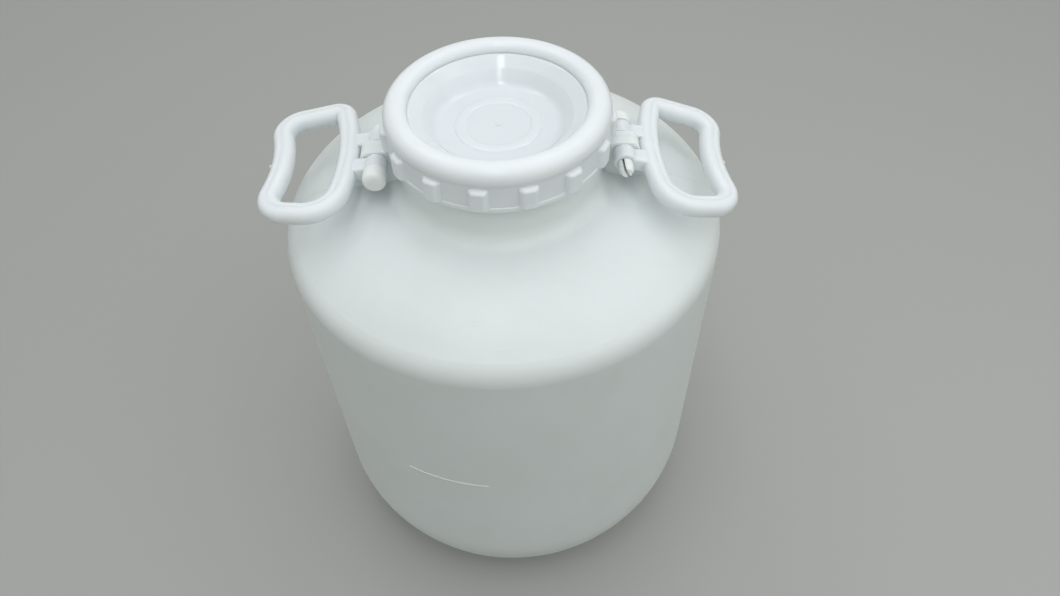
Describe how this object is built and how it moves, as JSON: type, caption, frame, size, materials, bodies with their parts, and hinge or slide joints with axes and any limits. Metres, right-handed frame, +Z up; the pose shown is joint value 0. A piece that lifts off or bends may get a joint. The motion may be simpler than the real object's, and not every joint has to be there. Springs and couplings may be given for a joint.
{
  "type": "plastic fermenting drum",
  "caption": "Round-shouldered white plastic fermenting drum with a wide screw ring over a dished inner lid, and a swinging loop handle on each side.",
  "frame": {"origin": "middle of the base, on the floor that the drum stands on", "axes": "+Z up along the drum's axis, +X towards the right-hand handle, -Y towards the viewer of the picture"},
  "size_m": [0.3385, 0.3328, 0.443],
  "materials": {
    "drum": "satin, slightly translucent natural polyethylene",
    "ring": "smooth injection-moulded polyethylene",
    "lid": "glossy, slightly translucent",
    "gasket": "soft white seal",
    "handle": "smooth injection-moulded polyethylene",
    "pin": "smooth injection-moulded polyethylene"
  },
  "bodies": {
    "drum": {"drum_body": "drum"},
    "lid": {"lid_dish": "lid", "sealing_gasket": "gasket"},
    "ring": {"screw_ring": "ring"},
    "left_handle": {"left_handle": "handle", "left_hinge_pin": "pin"},
    "right_handle": {"right_handle": "handle", "right_hinge_pin": "pin"}
  },
  "joints": [
    {"name": "lid_lift", "type": "slide", "parent": "drum", "child": "lid", "axis": [0, 0, 1], "range_m": [0, 0.0361]},
    {"name": "ring_turn", "type": "hinge", "parent": "lid", "child": "ring", "pos_m": [0, 0, 0], "axis": [0, 0, 1], "range_deg": [0, 1296]},
    {"name": "left_handle_swing", "type": "hinge", "parent": "drum", "child": "left_handle", "pos_m": [-0.0889, 0, 0.3966], "axis": [0, 1, 0], "range_deg": [-10.5, 84.5]},
    {"name": "right_handle_swing", "type": "hinge", "parent": "drum", "child": "right_handle", "pos_m": [0.0889, 0, 0.3966], "axis": [0, -1, 0], "range_deg": [-1, 94]}
  ],
  "couplings": [
    {"joint": "lid_lift", "follows": "ring_turn", "m_per_rad": 0.0015915}
  ]
}
